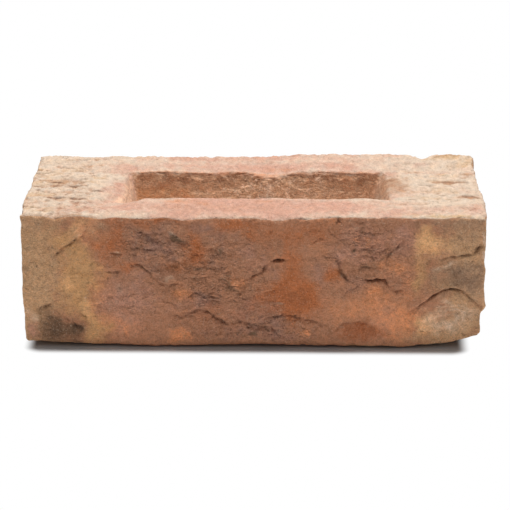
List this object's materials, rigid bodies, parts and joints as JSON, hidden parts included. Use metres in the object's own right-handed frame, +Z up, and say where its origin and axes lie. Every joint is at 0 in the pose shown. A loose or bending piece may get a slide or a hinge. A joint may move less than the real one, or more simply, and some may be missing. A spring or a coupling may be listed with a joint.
{
  "type": "clay brick",
  "caption": "Hand-moulded fired clay facing brick with a drafted frog in its upper bed, worn arrises and lapped folds of clay on its front stretcher.",
  "frame": {"origin": "middle of the lower bed, on the plane the brick lies on", "axes": "+X along the brick's length, +Y from the front stretcher to the back one, +Z up out of the bed that holds the frog"},
  "size_m": [0.219, 0.1052, 0.0671],
  "materials": {
    "fired_clay": "rough, sand-faced, kiln-flashed from buff through orange to purple-brown"
  },
  "bodies": {
    "root": {"brick": "fired_clay"}
  },
  "joints": []
}
